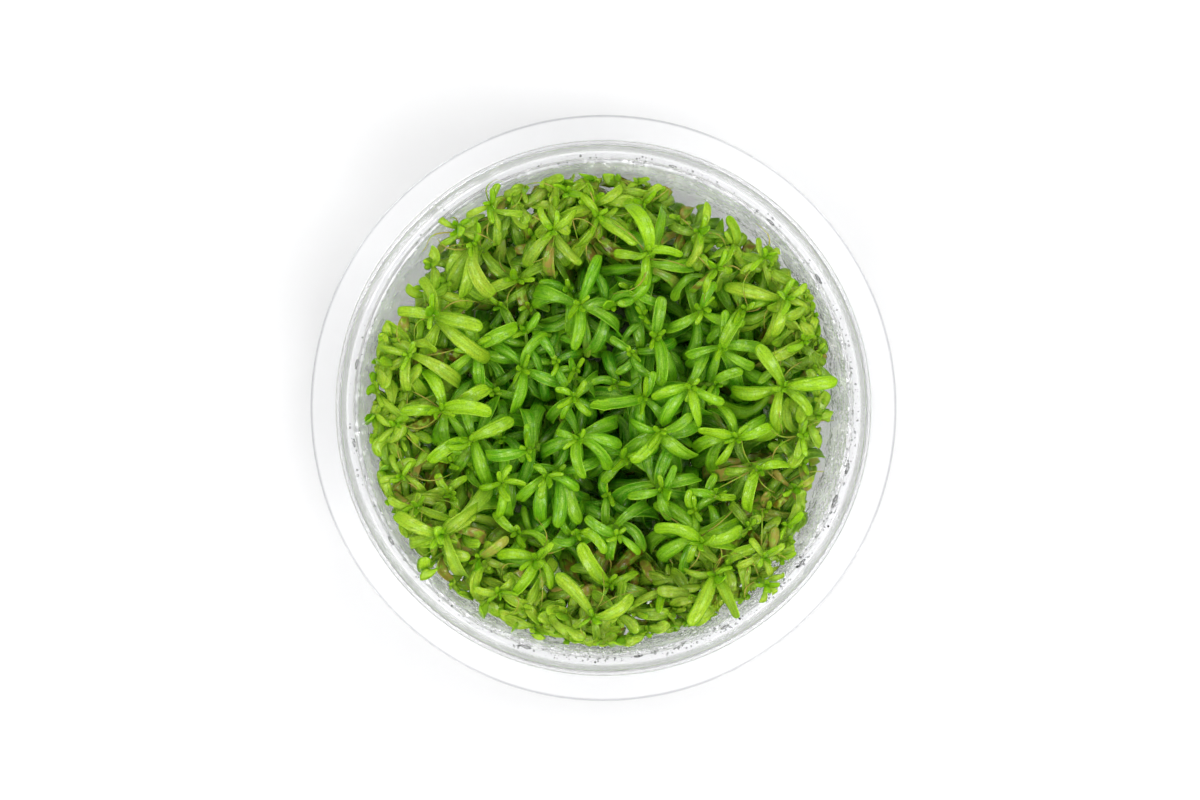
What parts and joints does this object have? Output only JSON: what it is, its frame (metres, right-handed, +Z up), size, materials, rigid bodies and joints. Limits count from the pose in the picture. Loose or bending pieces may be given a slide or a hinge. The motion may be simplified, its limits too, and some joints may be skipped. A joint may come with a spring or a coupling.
{
  "type": "tissue culture rotala in a clear cup",
  "caption": "Open clear plastic culture cup packed with leafy green rotala shoots that stand on a bed of clear gel.",
  "frame": {"origin": "middle of the foot that the cup stands on", "axes": "+Z up the axis of the cup; the picture looks down it with +X to its right and +Y to its top"},
  "size_m": [0.095, 0.095, 0.052],
  "materials": {
    "clear_plastic": "gloss",
    "gel": "wet gloss",
    "young_leaf": "waxy satin",
    "leaf": "waxy satin",
    "old_leaf": "satin"
  },
  "bodies": {
    "root": {"culture_cup": "clear_plastic", "gel": "gel", "shoot_01": "young_leaf", "shoot_02": "young_leaf", "shoot_03": "leaf", "shoot_04": "leaf", "shoot_05": "leaf", "shoot_06": "leaf", "shoot_07": "young_leaf", "shoot_08": "young_leaf", "shoot_09": "young_leaf", "shoot_10": "leaf", "shoot_11": "young_leaf", "shoot_12": "young_leaf", "shoot_13": "leaf", "shoot_14": "leaf", "shoot_15": "old_leaf", "shoot_16": "young_leaf", "shoot_17": "young_leaf", "shoot_18": "young_leaf", "shoot_19": "young_leaf", "shoot_20": "leaf", "shoot_21": "young_leaf", "shoot_22": "young_leaf", "shoot_23": "leaf", "shoot_24": "young_leaf", "shoot_25": "young_leaf", "shoot_26": "leaf", "shoot_27": "young_leaf", "shoot_28": "young_leaf", "shoot_29": "young_leaf", "shoot_30": "leaf", "shoot_31": "old_leaf", "shoot_32": "leaf", "shoot_33": "young_leaf", "shoot_34": "young_leaf", "shoot_35": "young_leaf", "shoot_36": "young_leaf", "shoot_37": "leaf", "shoot_38": "leaf", "shoot_39": "leaf", "shoot_40": "young_leaf", "shoot_41": "young_leaf", "shoot_42": "leaf", "shoot_43": "leaf", "shoot_44": "old_leaf", "shoot_45": "leaf", "shoot_46": "leaf", "shoot_47": "leaf", "shoot_48": "leaf", "shoot_49": "old_leaf", "shoot_50": "leaf", "shoot_51": "young_leaf", "shoot_52": "young_leaf", "shoot_53": "young_leaf", "shoot_54": "old_leaf", "shoot_55": "leaf", "shoot_56": "leaf", "shoot_57": "young_leaf", "shoot_58": "leaf"}
  },
  "joints": []
}
